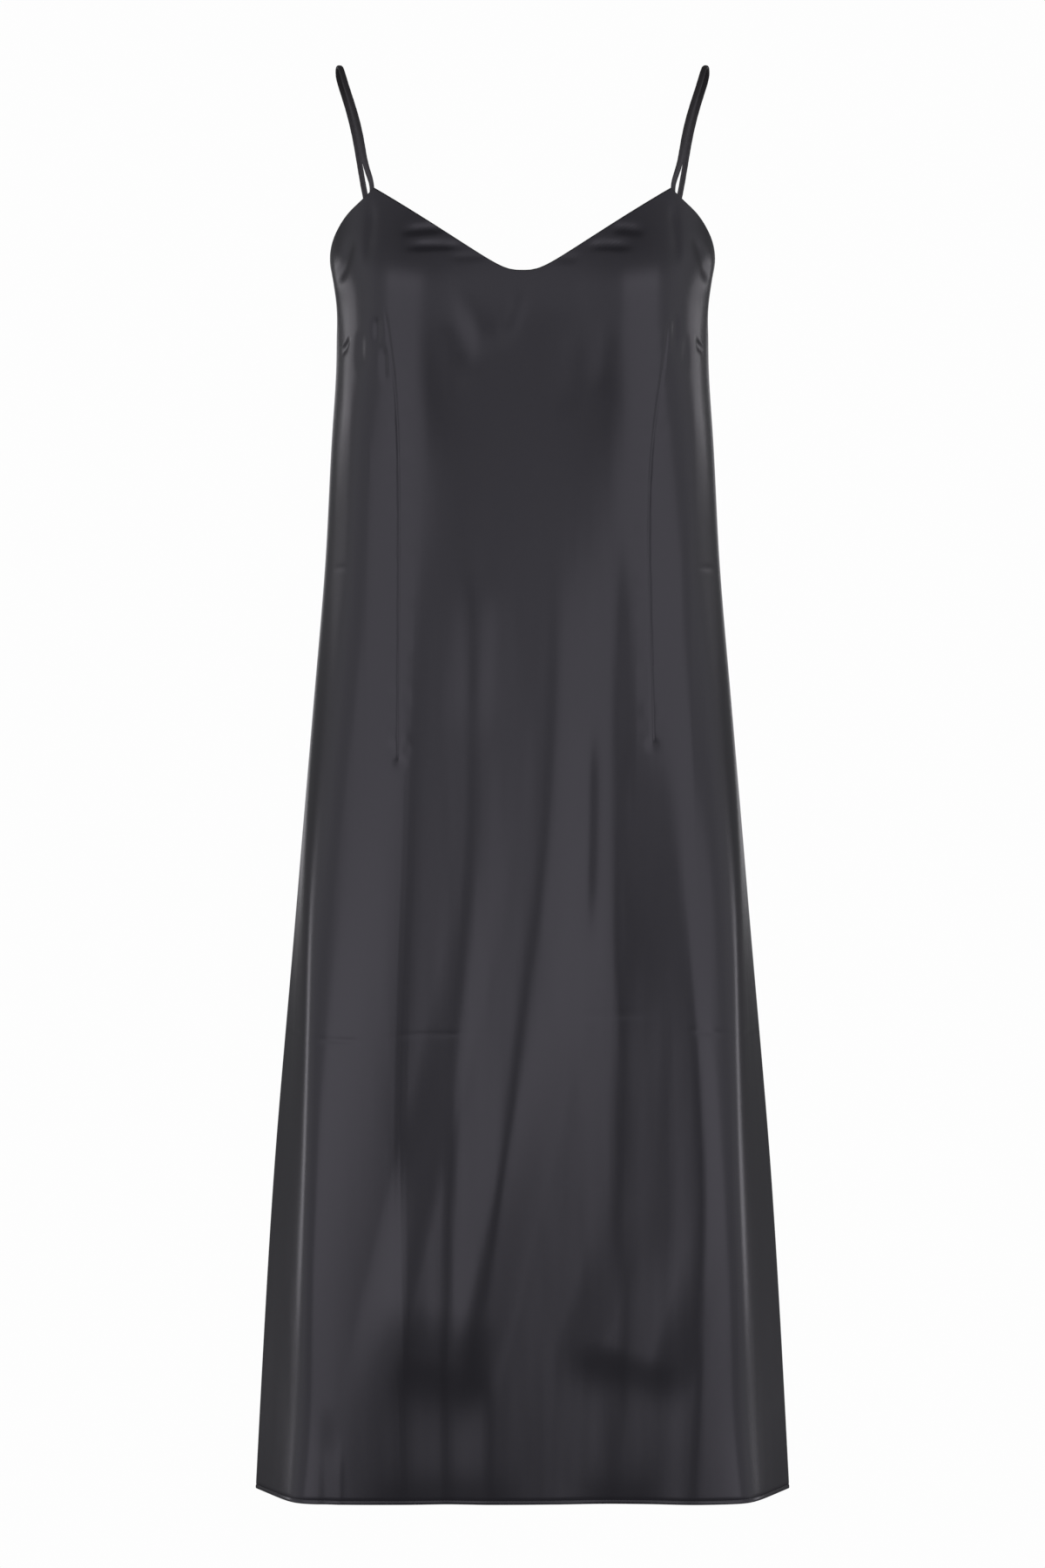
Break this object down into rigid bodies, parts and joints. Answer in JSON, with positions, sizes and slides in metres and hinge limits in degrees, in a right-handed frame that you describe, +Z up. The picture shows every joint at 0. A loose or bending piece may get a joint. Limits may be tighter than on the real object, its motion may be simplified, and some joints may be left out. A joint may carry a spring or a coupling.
{
  "type": "slip dress",
  "caption": "Sleeveless slip dress of satin as worn: a hollow A-line tube with a V neckline in front, a low back and two thin shoulder straps.",
  "frame": {"origin": "midway between the tops of the two shoulder straps, level with their undersides, where the wearer's shoulders hold the dress", "axes": "+Z up, +X to the right as seen from the front, the front of the dress faces -Y"},
  "size_m": [0.4462, 0.2227, 1.1848],
  "materials": {
    "satin": "charcoal black satin with a soft sheen",
    "strap_satin": "the same satin, turned into rouleau straps"
  },
  "bodies": {
    "root": {"front_panel": "satin", "back_panel": "satin", "strap_left": "strap_satin", "strap_right": "strap_satin"}
  },
  "joints": []
}
